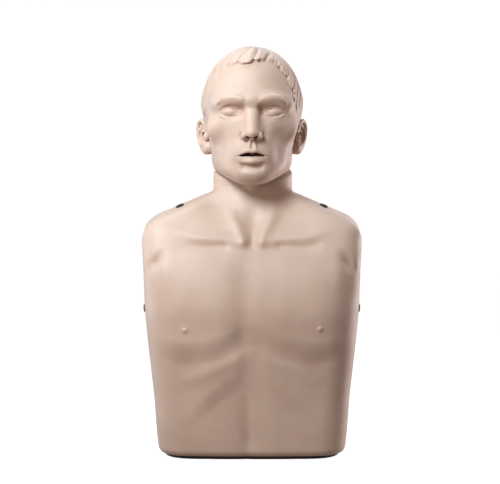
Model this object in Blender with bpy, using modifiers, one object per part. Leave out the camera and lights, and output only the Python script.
"""Resuscitation training manikin: a head and armless torso that stands upright on its flat lower end.

Frame: metres, +Z up, the face looks along -Y, and the origin is on the floor below the middle of the model.
The soft chest skin and face skin lie over hard carriers. A sprung plate behind the breastbone takes the
chest compressions, the head tilts back on an axle in the neck, and the jaw swings on two pins in the ears.
"""

import math

import bmesh
import bpy
from mathutils import Matrix, Vector

MM = 0.001

# Driving dimensions, in millimetres. A torso or head station is one level of the outer surface:
# (height, half width, front y, back y). Heights rise from the lower hem to the top of the neck,
# and from the chin to the crown.
TORSO_STATIONS = (
    (6, 132, -66, 88),
    (14, 142, -72, 95),
    (26, 149, -78, 101),
    (50, 152, -82, 105),
    (90, 154, -83, 106),
    (140, 159, -85, 106),
    (200, 166, -90, 106),
    (250, 170, -97.5, 106),
    (300, 172, -94, 106),
    (348, 175, -75, 105),
    (370, 171, -65, 102),
    (386, 156, -58, 97),
    (402, 125, -53, 89),
    (418, 86, -49.5, 75),
    (428, 65, -48, 64),
    (440, 62, -46, 58),
    (452, 56, -39, 52),
    (466, 52, -36, 47),
    (478, 48, -33, 44),
)
HEAD_STATIONS = (
    (432, 20, -68, 42),
    (438, 32, -79, 46),
    (446, 43, -84.5, 50),
    (456, 54, -86.5, 55),
    (468, 63, -86.5, 62),
    (480, 66, -88, 67),
    (495, 69, -88, 72),
    (515, 74.5, -86, 80),
    (540, 79, -85, 93),
    (562, 81, -87, 99),
    (584, 78.5, -86, 100),
    (606, 73.5, -80, 95),
    (624, 64, -68, 86),
    (640, 48, -52, 70),
    (651, 30, -32, 50),
    (657, 12, -10, 26),
)
HEAD_TOP = 658.2
SECTION_MIDDLE = 20  # y of the widest line of every section
TORSO_POINTS = 28  # points round one torso section
HEAD_POINTS = 26
SKIN = 3.0  # thickness of the soft skins and of the hard shells
GAP = 0.4  # running and lap clearance between neighbouring shells
DRILL_SIDES = 14  # sides of a drilled hole
SEAM_Y = 22.0  # the chest skin ends here, and the back shell begins
HEAD_SEAM_Y = 40.0  # the face skin ends here, behind the ears

FOOT_HEIGHT = 2.2
COVER_TOP = 8.0  # top of the bottom cover's plate

CHEST_CENTRE_Z = 245.0  # where the hands press
WINDOW = (85.0, 150.0, 345.0)  # half width, lower and upper edge of the front frame's window
PLATE_MARGIN = 2.5  # gap all round between the window and the chest plate
BAG = (58.0, 172.0, 332.0)  # half width, lower and upper edge of the lung bag
BAG_THICKNESS = 1.6
PLATE_THICKNESS = 4.0

SPRING_RADIUS = 26.0
SPRING_WIRE = 2.2
SPRING_TURNS = 7
SPRING_POINTS_PER_TURN = 9
GUIDE_BORE = 15.5
GUIDE_OUTSIDE = 19.0
GUIDE_LENGTH = 92.0
PLUNGER_RADIUS = 15.0
PLUNGER_LENGTH = 100.0
PLUNGER_CHAMFER = 2.0
PLUNGER_DISC_RADIUS = 31.0
PLUNGER_DISC_THICKNESS = 6.0
BASE_RADIUS = 36.0
BASE_FACE_Y = 101.5  # the spring base stands on the inner side of the back shell
BASE_THICKNESS = 7.0

NECK_PIVOT = (20.0, 497.0)  # y and z of the neck axle
NECK_POST_HALF = 21.0
AXLE_RADIUS = 5.0
WASHER_THICKNESS = 3.2
LUG_THICKNESS = 5.5

JAW_PIVOT = (12.0, 518.0)  # y and z of the ear posts, which carry the jaw
EAR_POST_RADIUS = 3.0
JAW_TOP = 477.0  # the jaw's upper edge, just under the mouth
JAW_ARM = (52.0, 57.0)  # inner and outer face of each jaw arm
MOUTH = (17.5, 481.5, 486.5)  # half width, lower and upper edge of the open mouth
CHIN_RIM = (-86.0, 430.0)  # the lower rim of the head's shell is a slanted plane through these two (y, z)
NAPE_RIM = (70.0, 485.0)

SIDE_STUD = (6.0, 240.0)  # y and z of the studs on the sides
SHOULDER_STUD = (115.0, -6.0)  # x and y of the studs on the shoulders
STUD_HEAD_RADIUS = 6.4
STUD_HEAD_HEIGHT = 3.4
STUD_SHANK_RADIUS = 3.0
STUD_SHANK_LENGTH = 9.0

CASE_SCREW_HEIGHTS = (80.0, 200.0, 320.0)
CASE_SCREW_Y = 33.0
CASE_SCREW_SHANK_HOLE = 2.4  # radius through the front frame's flange
CASE_SCREW_HEAD_HOLE = 4.6  # radius through the back shell, for the sunk head
AXLE_CLEARANCE = 0.3


# ---------------------------------------------------------------------------------------------- materials


def material(name, colour, roughness, metallic=0.0):
    """A plain Principled material with one colour."""
    result = bpy.data.materials.new(name)
    result.use_nodes = True
    shader = result.node_tree.nodes["Principled BSDF"]
    shader.inputs["Base Color"].default_value = (*colour, 1.0)
    shader.inputs["Roughness"].default_value = roughness
    shader.inputs["Metallic"].default_value = metallic
    result.diffuse_color = (*colour, 1.0)
    return result


def make_materials():
    """Every material by name."""
    return {
        "soft_vinyl": material("soft_vinyl", (0.66, 0.48, 0.39), 0.55),
        "hard_shell": material("hard_shell", (0.70, 0.53, 0.44), 0.45),
        "white_plastic": material("white_plastic", (0.80, 0.80, 0.78), 0.40),
        "black_plastic": material("black_plastic", (0.03, 0.03, 0.03), 0.50),
        "stud_rubber": material("stud_rubber", (0.045, 0.03, 0.025), 0.60),
        "foot_rubber": material("foot_rubber", (0.02, 0.02, 0.02), 0.85),
        "spring_steel": material("spring_steel", (0.55, 0.55, 0.57), 0.30, 1.0),
        "screw_steel": material("screw_steel", (0.45, 0.45, 0.46), 0.35, 1.0),
        "clear_film": material("clear_film", (0.75, 0.80, 0.84), 0.25),
        "airway_silicone": material("airway_silicone", (0.62, 0.70, 0.72), 0.45),
    }


# ---------------------------------------------------------------------------------------- building blocks


def collection(name, parent):
    """A new collection inside parent."""
    result = bpy.data.collections.new(name)
    parent.children.link(result)
    return result


def object_from(bm, name, group):
    """Store a bmesh as an object at the world origin."""
    mesh = bpy.data.meshes.new(name)
    bm.to_mesh(mesh)
    bm.free()
    result = bpy.data.objects.new(name, mesh)
    group.objects.link(result)
    return result


def hide_cutter(cutter):
    """Mark a cutter so that it is only a guide."""
    cutter.hide_render = True
    cutter.display_type = "WIRE"
    return cutter


def box(name, low, high, group):
    """A box from its lowest to its highest corner, in millimetres."""
    bm = bmesh.new()
    bmesh.ops.create_cube(bm, size=1.0)
    size = [(high[i] - low[i]) * MM for i in range(3)]
    middle = [(high[i] + low[i]) * MM / 2 for i in range(3)]
    bmesh.ops.scale(bm, vec=size, verts=bm.verts)
    bmesh.ops.translate(bm, vec=middle, verts=bm.verts)
    return object_from(bm, name, group)


def turned(name, profile, start, direction, group, steps=24):
    """A solid of revolution. profile is (distance along the axis, radius) in millimetres, from one end of
    the axis to the other, and start and direction place that axis."""
    bm = bmesh.new()
    rings = []
    for along, radius in profile:
        ring = []
        for k in range(steps):
            turn = 2 * math.pi * k / steps
            ring.append(bm.verts.new((radius * math.cos(turn) * MM, radius * math.sin(turn) * MM, along * MM)))
        rings.append(ring)
    for lower, upper in zip(rings, rings[1:]):
        for k in range(steps):
            after = (k + 1) % steps
            bm.faces.new((lower[k], lower[after], upper[after], upper[k]))
    if profile[0] == profile[-1]:
        bmesh.ops.remove_doubles(bm, verts=bm.verts, dist=1e-6)
    else:
        bm.faces.new(rings[0][::-1])
        bm.faces.new(rings[-1])
    bmesh.ops.recalc_face_normals(bm, faces=bm.faces)
    rotation = Vector(direction).to_track_quat("Z", "Y").to_matrix().to_4x4()
    place = Matrix.Translation(Vector(start) * MM) @ rotation
    bmesh.ops.transform(bm, matrix=place, verts=bm.verts)
    return object_from(bm, name, group)


def rod(name, start, end, radius, group, steps=20):
    """A plain cylinder between two points, in millimetres."""
    direction = Vector(end) - Vector(start)
    return turned(name, ((0, radius), (direction.length, radius)), start, direction, group, steps)


def tube_along(name, points, radius, group, resolution=2):
    """A round tube or wire through a list of points, in millimetres, as a closed mesh."""
    curve = bpy.data.curves.new(name, "CURVE")
    curve.dimensions = "3D"
    curve.bevel_depth = radius * MM
    curve.bevel_resolution = resolution
    curve.use_fill_caps = True
    spline = curve.splines.new("POLY")
    spline.points.add(len(points) - 1)
    for spline_point, point in zip(spline.points, points):
        spline_point.co = (point[0] * MM, point[1] * MM, point[2] * MM, 1.0)
    guide = bpy.data.objects.new(name + "_guide", curve)
    bpy.context.scene.collection.objects.link(guide)
    bpy.context.view_layer.update()
    evaluated = guide.evaluated_get(bpy.context.evaluated_depsgraph_get())
    mesh = bpy.data.meshes.new_from_object(evaluated)
    bm = bmesh.new()
    bm.from_mesh(mesh)
    bmesh.ops.remove_doubles(bm, verts=bm.verts, dist=1e-6)
    bmesh.ops.recalc_face_normals(bm, faces=bm.faces)
    bpy.data.objects.remove(guide)
    bpy.data.meshes.remove(mesh)
    return object_from(bm, name, group)


def combine(target, other, operation):
    """Cut, join or intersect target with another object by a Boolean modifier."""
    modifier = target.modifiers.new(operation.lower() + "_" + other.name, "BOOLEAN")
    modifier.operation = operation
    modifier.object = other
    hide_cutter(other)
    return target


def finish(target, look, parts):
    """Give a sub-part its material, smooth shading and its place in the model's collection."""
    target.data.materials.clear()
    target.data.materials.append(look)
    target.data.shade_smooth()
    target.data.set_sharp_from_angle(angle=math.radians(35))
    for group in list(target.users_collection):
        group.objects.unlink(target)
    parts.objects.link(target)
    return target


# --------------------------------------------------------------------------------------- the two surfaces


def station_at(stations, height):
    """Half width, front y and back y at a height, on a smooth curve through the stations."""
    index = 0
    while index < len(stations) - 2 and stations[index + 1][0] < height:
        index += 1
    before = stations[max(index - 1, 0)]
    here = stations[index]
    there = stations[index + 1]
    after = stations[min(index + 2, len(stations) - 1)]
    span = there[0] - here[0]
    t = min(max((height - here[0]) / span, 0.0), 1.0)
    values = []
    for k in (1, 2, 3):
        slope_here = (there[k] - before[k]) / (there[0] - before[0]) * span
        slope_there = (after[k] - here[k]) / (after[0] - here[0]) * span
        value = (2 * t**3 - 3 * t**2 + 1) * here[k] + (t**3 - 2 * t**2 + t) * slope_here
        value += (3 * t**2 - 2 * t**3) * there[k] + (t**3 - t**2) * slope_there
        values.append(value)
    return values


def torso_squareness(height):
    """Exponents of the front and back half of a torso section: a full barrel below, a round neck above."""
    t = min(max((height - 330) / 90, 0.0), 1.0)
    return 2.7 - 0.6 * t, 4.0 - 1.9 * t


def head_squareness(height):
    """Exponents of the front and back half of a head section."""
    t = min(max((height - 440) / 60, 0.0), 1.0)
    return 3.0 - 0.7 * t, 2.2


def section(stations, squareness, height, count):
    """Points round one level section of a surface, in millimetres."""
    half_width, front, back = station_at(stations, height)
    front_power, back_power = squareness(height)
    points = []
    for k in range(count):
        turn = 2 * math.pi * k / count
        across = math.cos(turn)
        along = math.sin(turn)
        power = front_power if along < 0 else back_power
        depth = SECTION_MIDDLE - front if along < 0 else back - SECTION_MIDDLE
        x = math.copysign(abs(across) ** (2 / power), across) * half_width
        y = SECTION_MIDDLE + math.copysign(abs(along) ** (2 / power), along) * depth
        points.append((x, y, height))
    return points


def surface(name, stations, squareness, count, group, top=None):
    """An open triangulated surface through the stations; top closes it with a point at that height."""
    bm = bmesh.new()
    rings = []
    for station in stations:
        points = section(stations, squareness, station[0], count)
        rings.append([bm.verts.new((x * MM, y * MM, z * MM)) for x, y, z in points])
    for lower, upper in zip(rings, rings[1:]):
        for k in range(count):
            after = (k + 1) % count
            bm.faces.new((lower[k], lower[after], upper[after]))
            bm.faces.new((lower[k], upper[after], upper[k]))
    if top is not None:
        last = stations[-1]
        tip = bm.verts.new((0, (last[2] + last[3]) / 2 * MM, top * MM))
        for k in range(count):
            bm.faces.new((rings[-1][k], rings[-1][(k + 1) % count], tip))
    bmesh.ops.recalc_face_normals(bm, faces=bm.faces)
    return object_from(bm, name, group)


def shell(name, kind, depth, thickness, group):
    """A shell whose outer side lies depth millimetres under the torso's or the head's surface."""
    if kind == "torso":
        result = surface(name, TORSO_STATIONS, torso_squareness, TORSO_POINTS, group)
    else:
        result = surface(name, HEAD_STATIONS, head_squareness, HEAD_POINTS, group, top=HEAD_TOP)
    if depth:
        sink = result.modifiers.new("sink", "DISPLACE")
        sink.direction = "NORMAL"
        sink.mid_level = 0.0
        sink.strength = -depth * MM
    wall = result.modifiers.new("wall", "SOLIDIFY")
    wall.thickness = thickness * MM
    wall.offset = -1.0
    return result


def torso_surface_z(x, y):
    """Height of the shoulder's surface above a point of the plan."""
    low, high = 350.0, 470.0
    for _ in range(40):
        middle = (low + high) / 2
        half_width, front, _back = station_at(TORSO_STATIONS, middle)
        power = torso_squareness(middle)[0]
        reach = abs(x / half_width) ** power + abs((y - SECTION_MIDDLE) / (SECTION_MIDDLE - front)) ** power
        if reach < 1:
            low = middle
        else:
            high = middle
    return (low + high) / 2


def shoulder_stud_place(side):
    """The point of the shoulder's surface under a stud, and the outward direction there."""
    x, y = SHOULDER_STUD
    step = 1.5
    z = torso_surface_z(x, y)
    slope_x = (torso_surface_z(x + step, y) - torso_surface_z(x - step, y)) / (2 * step)
    slope_y = (torso_surface_z(x, y + step) - torso_surface_z(x, y - step)) / (2 * step)
    return (side * x, y, z), (-side * slope_x, -slope_y, 1.0)


def side_x(y, z):
    """Half width of the torso's surface at a point on its side."""
    half_width, front, back = station_at(TORSO_STATIONS, z)
    front_power, back_power = torso_squareness(z)
    power = front_power if y < SECTION_MIDDLE else back_power
    depth = SECTION_MIDDLE - front if y < SECTION_MIDDLE else back - SECTION_MIDDLE
    return half_width * (1 - abs((y - SECTION_MIDDLE) / depth) ** power) ** (1 / power)


# ------------------------------------------------------------------------------------------------- torso


def stud_places():
    """Name, point and outward direction of the four studs that hold the chest skin."""
    places = []
    for side, label in ((-1, "right"), (1, "left")):
        point, direction = shoulder_stud_place(side)
        places.append(("shoulder_stud_" + label, point, direction))
        y, z = SIDE_STUD
        places.append(("side_stud_" + label, (side * side_x(y, z), y, z), (side, 0, 0)))
    return places


def drill(target, name, point, direction, radius, cutters, reach=14.0):
    """Drill a round hole through a wall at a point, along a direction."""
    unit = Vector(direction).normalized()
    start = Vector(point) - unit * reach
    end = Vector(point) + unit * reach
    return combine(target, rod(name, start, end, radius, cutters, steps=DRILL_SIDES), "DIFFERENCE")


def make_chest_skin(parts, cutters, looks):
    """The soft skin over the whole front, from the hem to the top of the neck."""
    skin = shell("chest_skin", "torso", 0, SKIN, cutters)
    combine(skin, box("chest_skin_trim", (-300, SEAM_Y, -50), (300, 300, 700), cutters), "DIFFERENCE")
    for name, point, direction in stud_places():
        drill(skin, name + "_skin_hole", point, direction, STUD_SHANK_RADIUS + GAP, cutters)
    return finish(skin, looks["soft_vinyl"], parts)


def case_screw_places():
    """Name, point and outward direction of the screws that join the back shell to the front frame."""
    places = []
    for side, label in ((-1, "right"), (1, "left")):
        for number, z in enumerate(CASE_SCREW_HEIGHTS, 1):
            name = f"case_screw_{label}_{number}"
            places.append((name, (side * side_x(CASE_SCREW_Y, z), CASE_SCREW_Y, z), (side, 0, 0)))
    return places


def make_back_shell(parts, cutters, looks):
    """The hard tray that closes the back and carries everything inside."""
    tray = shell("back_shell", "torso", 0, SKIN, cutters)
    trim_low = (-300, -300, -50)
    combine(tray, box("back_shell_trim", trim_low, (300, SEAM_Y + GAP, 700), cutters), "DIFFERENCE")
    combine(tray, box("back_shell_top", (-300, -300, 476), (300, 300, 700), cutters), "DIFFERENCE")
    for name, point, direction in case_screw_places():
        drill(tray, name + "_shell_hole", point, direction, CASE_SCREW_HEAD_HOLE, cutters)
    return finish(tray, looks["hard_shell"], parts)


def make_front_frame(parts, cutters, looks):
    """The hard carrier under the chest skin, open behind the breastbone for the chest plate."""
    frame = shell("front_frame", "torso", SKIN + GAP, SKIN, cutters)
    combine(frame, box("front_frame_trim", (-300, SEAM_Y + 22, -50), (300, 300, 700), cutters), "DIFFERENCE")
    combine(frame, box("front_frame_top", (-300, -300, 442), (300, 300, 700), cutters), "DIFFERENCE")
    combine(frame, box("front_frame_foot", (-300, -300, -50), (300, 300, COVER_TOP + 6), cutters), "DIFFERENCE")
    half, low, high = WINDOW
    combine(frame, box("front_frame_window", (-half, -300, low), (half, -30, high), cutters), "DIFFERENCE")
    for name, point, direction in stud_places():
        drill(frame, name + "_frame_hole", point, direction, STUD_SHANK_RADIUS + GAP, cutters)
    for name, point, direction in case_screw_places():
        drill(frame, name + "_frame_hole", point, direction, CASE_SCREW_SHANK_HOLE, cutters)
    return finish(frame, looks["white_plastic"], parts)


def make_studs(parts, cutters, looks):
    """Mushroom studs through the skin's edge tabs."""
    sink = -STUD_SHANK_LENGTH
    rise = 0.3
    top = rise + STUD_HEAD_HEIGHT
    profile = (
        (sink, STUD_SHANK_RADIUS - 0.6),
        (sink + 1, STUD_SHANK_RADIUS),
        (rise, STUD_SHANK_RADIUS),
        (rise, STUD_HEAD_RADIUS),
        (rise + 1.4, STUD_HEAD_RADIUS),
        (top - 0.6, STUD_HEAD_RADIUS * 0.78),
        (top, STUD_HEAD_RADIUS * 0.4),
    )
    for name, point, direction in stud_places():
        finish(turned(name, profile, point, direction, cutters, steps=16), looks["stud_rubber"], parts)


def make_case_screws(parts, cutters, looks):
    """Flush pan screws along both sides of the back shell."""
    profile = ((-11, 1.2), (-9, 2.0), (-2.6, 2.0), (-2.6, 4.1), (-0.8, 4.1), (-0.3, 3.0))
    for name, point, direction in case_screw_places():
        finish(turned(name, profile, point, direction, cutters, steps=10), looks["screw_steel"], parts)


def make_bottom_cover(parts, cutters, looks):
    """The dark plate that closes the lower end and shows below the skin's hem."""
    bm = bmesh.new()
    half_width, front, back = station_at(TORSO_STATIONS, TORSO_STATIONS[0][0])
    inset = SKIN + 1.2
    outline = ((TORSO_STATIONS[0][0], half_width - inset, front + inset, back - inset),)
    outline += ((20, half_width - inset, front + inset, back - inset),)
    rings = []
    for level in (FOOT_HEIGHT + 0.3, COVER_TOP):
        points = section(outline, torso_squareness, outline[0][0], TORSO_POINTS)
        rings.append([bm.verts.new((x * MM, y * MM, level * MM)) for x, y, _z in points])
    bm.faces.new(rings[0])
    bm.faces.new(rings[1])
    for k in range(TORSO_POINTS):
        after = (k + 1) % TORSO_POINTS
        bm.faces.new((rings[0][k], rings[0][after], rings[1][after], rings[1][k]))
    bmesh.ops.recalc_face_normals(bm, faces=bm.faces)
    return finish(object_from(bm, "bottom_cover", cutters), looks["black_plastic"], parts)


def make_feet(parts, cutters, looks):
    """Four low rubber pads under the bottom cover."""
    for front, y in (("front", -42), ("rear", 66)):
        for label, x in (("right", -92), ("left", 92)):
            pad = turned(
                f"foot_{front}_{label}",
                ((0, 12.5), (FOOT_HEIGHT - 0.6, 13), (FOOT_HEIGHT, 13)),
                (x, y, 0),
                (0, 0, 1),
                cutters,
                steps=16,
            )
            finish(pad, looks["foot_rubber"], parts)


def make_neck_post(parts, cutters, looks):
    """The upright that carries the head's axle, with its foot on the back shell."""
    pivot_y, pivot_z = NECK_PIVOT
    half = NECK_POST_HALF
    post = box("neck_post", (-half, 7, 350), (half, 33, pivot_z), cutters)
    head = rod("neck_post_head", (-half, pivot_y, pivot_z), (half, pivot_y, pivot_z), 13.0, cutters)
    combine(post, head, "UNION")
    combine(post, box("neck_post_foot", (-34, 20, 345), (34, 94, 372), cutters), "UNION")
    hole = ((-half - 5, pivot_y, pivot_z), (half + 5, pivot_y, pivot_z))
    combine(post, rod("neck_post_hole", *hole, AXLE_RADIUS + AXLE_CLEARANCE, cutters), "DIFFERENCE")
    return finish(post, looks["white_plastic"], parts)


def make_neck_axle(parts, cutters, looks):
    """The steel axle, and the two friction washers between the post and the skull's lugs."""
    pivot_y, pivot_z = NECK_PIVOT
    reach = NECK_POST_HALF + WASHER_THICKNESS + LUG_THICKNESS + 4
    axle = rod("neck_axle", (-reach, pivot_y, pivot_z), (reach, pivot_y, pivot_z), AXLE_RADIUS, cutters)
    finish(axle, looks["spring_steel"], parts)
    inner = AXLE_RADIUS + AXLE_CLEARANCE
    profile = ((0, inner), (0, 11.0), (WASHER_THICKNESS, 11.0), (WASHER_THICKNESS, inner), (0, inner))
    for side, label in ((-1, "right"), (1, "left")):
        start = (side * (NECK_POST_HALF + GAP), pivot_y, pivot_z)
        washer = turned("neck_washer_" + label, profile, start, (side, 0, 0), cutters)
        finish(washer, looks["black_plastic"], parts)


def make_spring_base(parts, cutters, looks):
    """The round seat of the compression spring with the plunger's guide sleeve on it."""
    profile = (
        (0, GUIDE_BORE),
        (0, BASE_RADIUS),
        (BASE_THICKNESS, BASE_RADIUS),
        (BASE_THICKNESS, GUIDE_OUTSIDE),
        (GUIDE_LENGTH, GUIDE_OUTSIDE),
        (GUIDE_LENGTH, GUIDE_BORE),
        (0, GUIDE_BORE),
    )
    base = turned("spring_base", profile, (0, BASE_FACE_Y, CHEST_CENTRE_Z), (0, -1, 0), cutters, steps=28)
    return finish(base, looks["white_plastic"], parts)


def make_clicker(parts, cutters, looks):
    """A bent spring leaf beside the guide that snaps when the chest reaches its depth."""
    points = []
    for k in range(9):
        t = k / 8
        points.append((48 - 7 * math.sin(math.pi * t), 97 - 62 * t, CHEST_CENTRE_Z + 8))
    leaf = tube_along("click_leaf", points, 1.6, cutters, resolution=1)
    return finish(leaf, looks["spring_steel"], parts)


def make_airway_hose(parts, cutters, looks):
    """The soft hose from the neck down to the lung bag's inlet."""
    route = ((0, -14, 466), (0, -14, 445), (0, -15, 424), (0, -20, 402), (0, -29, 382), (0, -40, 366), (0, -50, 354))
    return finish(tube_along("airway_hose", route, 6.0, cutters), looks["airway_silicone"], parts)


# ------------------------------------------------------------------------------------------ chest plate


def plate_box(name, half, low, high, cutters):
    """The block that cuts a panel out of the front of a shell."""
    return box(name, (-half, -300, low), (half, -25, high), cutters)


def plate_depth():
    """Depth of the chest plate's outer side under the skin's outer side."""
    return SKIN + GAP + BAG_THICKNESS + GAP


def make_chest_plate(parts, cutters, looks):
    """The stiff rib plate that the hands press, curved like the chest."""
    plate = shell("chest_plate", "torso", plate_depth(), PLATE_THICKNESS, cutters)
    half, low, high = WINDOW
    block = plate_box("chest_plate_block", half - PLATE_MARGIN, low + PLATE_MARGIN, high - PLATE_MARGIN, cutters)
    combine(plate, block, "INTERSECT")
    return finish(plate, looks["white_plastic"], parts)


def make_lung_bag(parts, cutters, looks):
    """The flat bag that lies on the chest plate and lifts the skin when it fills."""
    bag = shell("lung_bag", "torso", SKIN + GAP, BAG_THICKNESS, cutters)
    combine(bag, plate_box("lung_bag_block", *BAG, cutters), "INTERSECT")
    return finish(bag, looks["clear_film"], parts)


def plunger_start_y():
    """y of the plunger's disc, which clears the curved back of the chest plate."""
    fronts = []
    for side in (-1, 0, 1):
        fronts.append(station_at(TORSO_STATIONS, CHEST_CENTRE_Z + side * PLUNGER_DISC_RADIUS)[1])
    return max(fronts) + plate_depth() + PLATE_THICKNESS + 1.5


def make_plunger(parts, cutters, looks):
    """The pressure disc behind the plate with the rod that runs in the guide."""
    disc = (0, PLUNGER_DISC_RADIUS), (PLUNGER_DISC_THICKNESS, PLUNGER_DISC_RADIUS)
    rod_end = (PLUNGER_LENGTH - PLUNGER_CHAMFER, PLUNGER_RADIUS), (PLUNGER_LENGTH, PLUNGER_RADIUS - PLUNGER_CHAMFER)
    profile = (*disc, (PLUNGER_DISC_THICKNESS, PLUNGER_RADIUS), *rod_end)
    start = (0, plunger_start_y(), CHEST_CENTRE_Z)
    plunger = turned("plunger", profile, start, (0, 1, 0), cutters, steps=28)
    return finish(plunger, looks["black_plastic"], parts)


def make_compression_spring(parts, cutters, looks):
    """The coil spring round the guide, between the plunger's disc and the spring base."""
    start = plunger_start_y() + PLUNGER_DISC_THICKNESS + SPRING_WIRE + GAP
    end = BASE_FACE_Y - BASE_THICKNESS - SPRING_WIRE - GAP
    points = []
    count = SPRING_TURNS * SPRING_POINTS_PER_TURN
    for k in range(count + 1):
        turn = 2 * math.pi * k / SPRING_POINTS_PER_TURN
        y = start + (end - start) * k / count
        points.append((SPRING_RADIUS * math.cos(turn), y, CHEST_CENTRE_Z + SPRING_RADIUS * math.sin(turn)))
    spring = tube_along("compression_spring", points, SPRING_WIRE, cutters, resolution=1)
    return finish(spring, looks["spring_steel"], parts)


# --------------------------------------------------------------------------------------------------- head


def rim_wedge(name, cutters, lift=0.0):
    """The block under the slanted lower rim of the head. lift raises its upper face."""
    chin_y, chin_z = CHIN_RIM
    nape_y, nape_z = NAPE_RIM
    slope = (nape_z - chin_z) / (nape_y - chin_y)
    wedge = box(name, (-300, -300, -300), (300, 300, 0), cutters)
    turn = Matrix.Rotation(math.atan(slope), 4, "X")
    place = Matrix.Translation(Vector((0, chin_y, chin_z + lift)) * MM)
    wedge.data.transform(place @ turn)
    return wedge


def ear_post_places():
    """Name, side and ear point of the two ear posts."""
    y, z = JAW_PIVOT
    half_width = station_at(HEAD_STATIONS, z)[0]
    return [("ear_post_" + label, side, (side * half_width, y, z)) for side, label in ((-1, "right"), (1, "left"))]


def ellipsoid(name, middle, radii, group):
    """An ellipsoid from a sphere, in millimetres."""
    bm = bmesh.new()
    bmesh.ops.create_uvsphere(bm, u_segments=16, v_segments=8, radius=1.0)
    bmesh.ops.scale(bm, vec=Vector(radii) * MM, verts=bm.verts)
    bmesh.ops.translate(bm, vec=Vector(middle) * MM, verts=bm.verts)
    return object_from(bm, name, group)


def make_face_skin(parts, cutters, looks):
    """The soft front half of the head, with nose, ears and an open mouth."""
    face = shell("face_skin", "head", 0, SKIN, cutters)
    combine(face, box("face_trim", (-300, HEAD_SEAM_Y, 0), (300, 300, 800), cutters), "DIFFERENCE")
    combine(face, rim_wedge("face_rim", cutters), "DIFFERENCE")
    combine(face, ellipsoid("nose", (0, -95.3, 517), (15, 10.7, 22), cutters), "UNION")
    for side, label in ((-1, "right"), (1, "left")):
        ear = ellipsoid("ear_" + label, (side * 81.5, 19, 514), (9.3, 16, 26.5), cutters)
        combine(face, ear, "UNION")
    half, low, high = MOUTH
    combine(face, box("mouth_slot", (-half, -200, low), (half, -60, high), cutters), "DIFFERENCE")
    for name, side, point in ear_post_places():
        drill(face, name + "_face_hole", point, (side, 0, 0), EAR_POST_RADIUS + GAP, cutters, reach=22)
    return finish(face, looks["soft_vinyl"], parts)


def make_rear_head_shell(parts, cutters, looks):
    """The hard back half of the head."""
    rear = shell("rear_head_shell", "head", 0, SKIN, cutters)
    trim = box("rear_head_trim", (-300, -300, 0), (300, HEAD_SEAM_Y + GAP, 800), cutters)
    combine(rear, trim, "DIFFERENCE")
    combine(rear, rim_wedge("rear_head_rim", cutters), "DIFFERENCE")
    return finish(rear, looks["hard_shell"], parts)


def make_skull_frame(parts, cutters, looks):
    """The hard carrier inside the face skin, with a bulkhead and two lugs that hang on the neck axle."""
    skull = shell("skull_frame", "head", SKIN + GAP, SKIN, cutters)
    combine(skull, box("skull_trim", (-300, HEAD_SEAM_Y + 24, 0), (300, 300, 800), cutters), "DIFFERENCE")
    combine(skull, box("skull_lower", (-300, -300, 0), (300, 300, 489), cutters), "DIFFERENCE")
    pivot_y, pivot_z = NECK_PIVOT
    inner = NECK_POST_HALF + WASHER_THICKNESS + 2 * GAP
    for side, label in ((-1, "right"), (1, "left")):
        near, far = sorted((side * inner, side * (inner + LUG_THICKNESS)))
        lug = box("skull_lug_" + label, (near, pivot_y - 17, pivot_z - 13), (far, pivot_y + 17, 566), cutters)
        combine(skull, lug, "UNION")
    bulkhead = surface("skull_bulkhead", HEAD_STATIONS[8:10], head_squareness, HEAD_POINTS, cutters)
    close_ends(bulkhead)
    sink = bulkhead.modifiers.new("sink", "DISPLACE")
    sink.direction = "NORMAL"
    sink.mid_level = 0.0
    sink.strength = -(SKIN + GAP + SKIN / 2) * MM
    combine(bulkhead, box("bulkhead_top", (-300, -300, 561), (300, 300, 800), cutters), "DIFFERENCE")
    combine(bulkhead, box("bulkhead_low", (-300, -300, 0), (300, 300, 557), cutters), "DIFFERENCE")
    combine(bulkhead, box("bulkhead_back", (-300, HEAD_SEAM_Y + 23, 0), (300, 300, 800), cutters), "DIFFERENCE")
    combine(skull, bulkhead, "UNION")
    reach = inner + LUG_THICKNESS + 8
    hole = rod("skull_axle_hole", (-reach, pivot_y, pivot_z), (reach, pivot_y, pivot_z), AXLE_RADIUS + AXLE_CLEARANCE, cutters)
    combine(skull, hole, "DIFFERENCE")
    for name, side, point in ear_post_places():
        drill(skull, name + "_skull_hole", point, (side, 0, 0), EAR_POST_RADIUS + GAP, cutters, reach=22)
    return finish(skull, looks["white_plastic"], parts)


def close_ends(target):
    """Close both open ends of a surface with flat faces."""
    bm = bmesh.new()
    bm.from_mesh(target.data)
    bmesh.ops.holes_fill(bm, edges=[edge for edge in bm.edges if edge.is_boundary])
    bmesh.ops.recalc_face_normals(bm, faces=bm.faces)
    bm.to_mesh(target.data)
    bm.free()


def make_ear_posts(parts, cutters, looks):
    """Dark pins in the ear canals that hold the face skin and carry the jaw."""
    for name, side, point in ear_post_places():
        inward = abs(point[0]) - JAW_ARM[0] + 3.5
        profile = ((-inward, EAR_POST_RADIUS), (3.0, EAR_POST_RADIUS), (4.2, EAR_POST_RADIUS - 1.0))
        finish(turned(name, profile, point, (side, 0, 0), cutters, steps=14), looks["stud_rubber"], parts)


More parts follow.
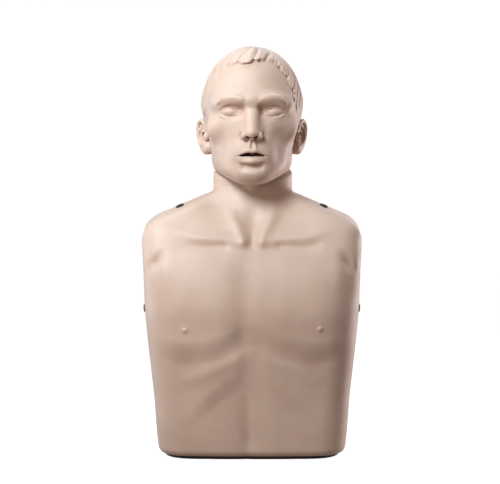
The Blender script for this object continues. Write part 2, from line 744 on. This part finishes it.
def make_jaw(parts, cutters, looks):
    """The lower jaw: a curved band under the mouth with an arm up to each ear post."""
    jaw = shell("jaw", "head", SKIN + GAP, SKIN, cutters)
    combine(jaw, box("jaw_upper", (-300, -300, JAW_TOP), (300, 300, 800), cutters), "DIFFERENCE")
    combine(jaw, rim_wedge("jaw_rim", cutters, lift=3.0), "DIFFERENCE")
    combine(jaw, box("jaw_rear", (-300, 14, 0), (300, 300, 800), cutters), "DIFFERENCE")
    pivot_y, pivot_z = JAW_PIVOT
    for side, label in ((-1, "right"), (1, "left")):
        near, far = sorted((side * JAW_ARM[0], side * JAW_ARM[1]))
        arm = box("jaw_arm_" + label, (near, pivot_y - 26, 470), (far, pivot_y - 2, pivot_z - 6), cutters)
        combine(jaw, arm, "UNION")
        eye = rod("jaw_eye_" + label, (near, pivot_y, pivot_z), (far, pivot_y, pivot_z), 9.0, cutters)
        combine(jaw, eye, "UNION")
    for name, side, point in ear_post_places():
        drill(jaw, name + "_jaw_hole", point, (side, 0, 0), EAR_POST_RADIUS + AXLE_CLEARANCE, cutters, reach=30)
    return finish(jaw, looks["white_plastic"], parts)


def make_airway(parts, cutters, looks):
    """The mouthpiece behind the lips and the tube from it to the throat."""
    z = (MOUTH[1] + MOUTH[2]) / 2 + 2
    profile = ((0, 7.5), (0, 10.0), (20, 10.0), (20, 7.5), (0, 7.5))
    mouthpiece = turned("mouthpiece", profile, (0, -77, z), (0, 1, 0), cutters, steps=24)
    finish(mouthpiece, looks["white_plastic"], parts)
    route = ((0, -56, z), (0, -44, z + 0.5), (0, -32, z + 0.5), (0, -20, z - 1))
    finish(tube_along("airway_tube", route, 6.0, cutters), looks["airway_silicone"], parts)


# --------------------------------------------------------------------------------------------------- main


def clear_scene():
    """Remove whatever the file opened with."""
    for item in list(bpy.data.objects):
        bpy.data.objects.remove(item)


def main():
    """Build every sub-part."""
    clear_scene()
    scene_group = bpy.context.scene.collection
    parts = collection("resuscitation_manikin", scene_group)
    cutters = collection("cutters", scene_group)
    looks = make_materials()
    for make in (
        make_chest_skin,
        make_back_shell,
        make_front_frame,
        make_bottom_cover,
        make_feet,
        make_studs,
        make_case_screws,
        make_neck_post,
        make_neck_axle,
        make_spring_base,
        make_clicker,
        make_airway_hose,
        make_chest_plate,
        make_lung_bag,
        make_plunger,
        make_compression_spring,
        make_skull_frame,
        make_face_skin,
        make_rear_head_shell,
        make_ear_posts,
        make_jaw,
        make_airway,
    ):
        make(parts, cutters, looks)


main()
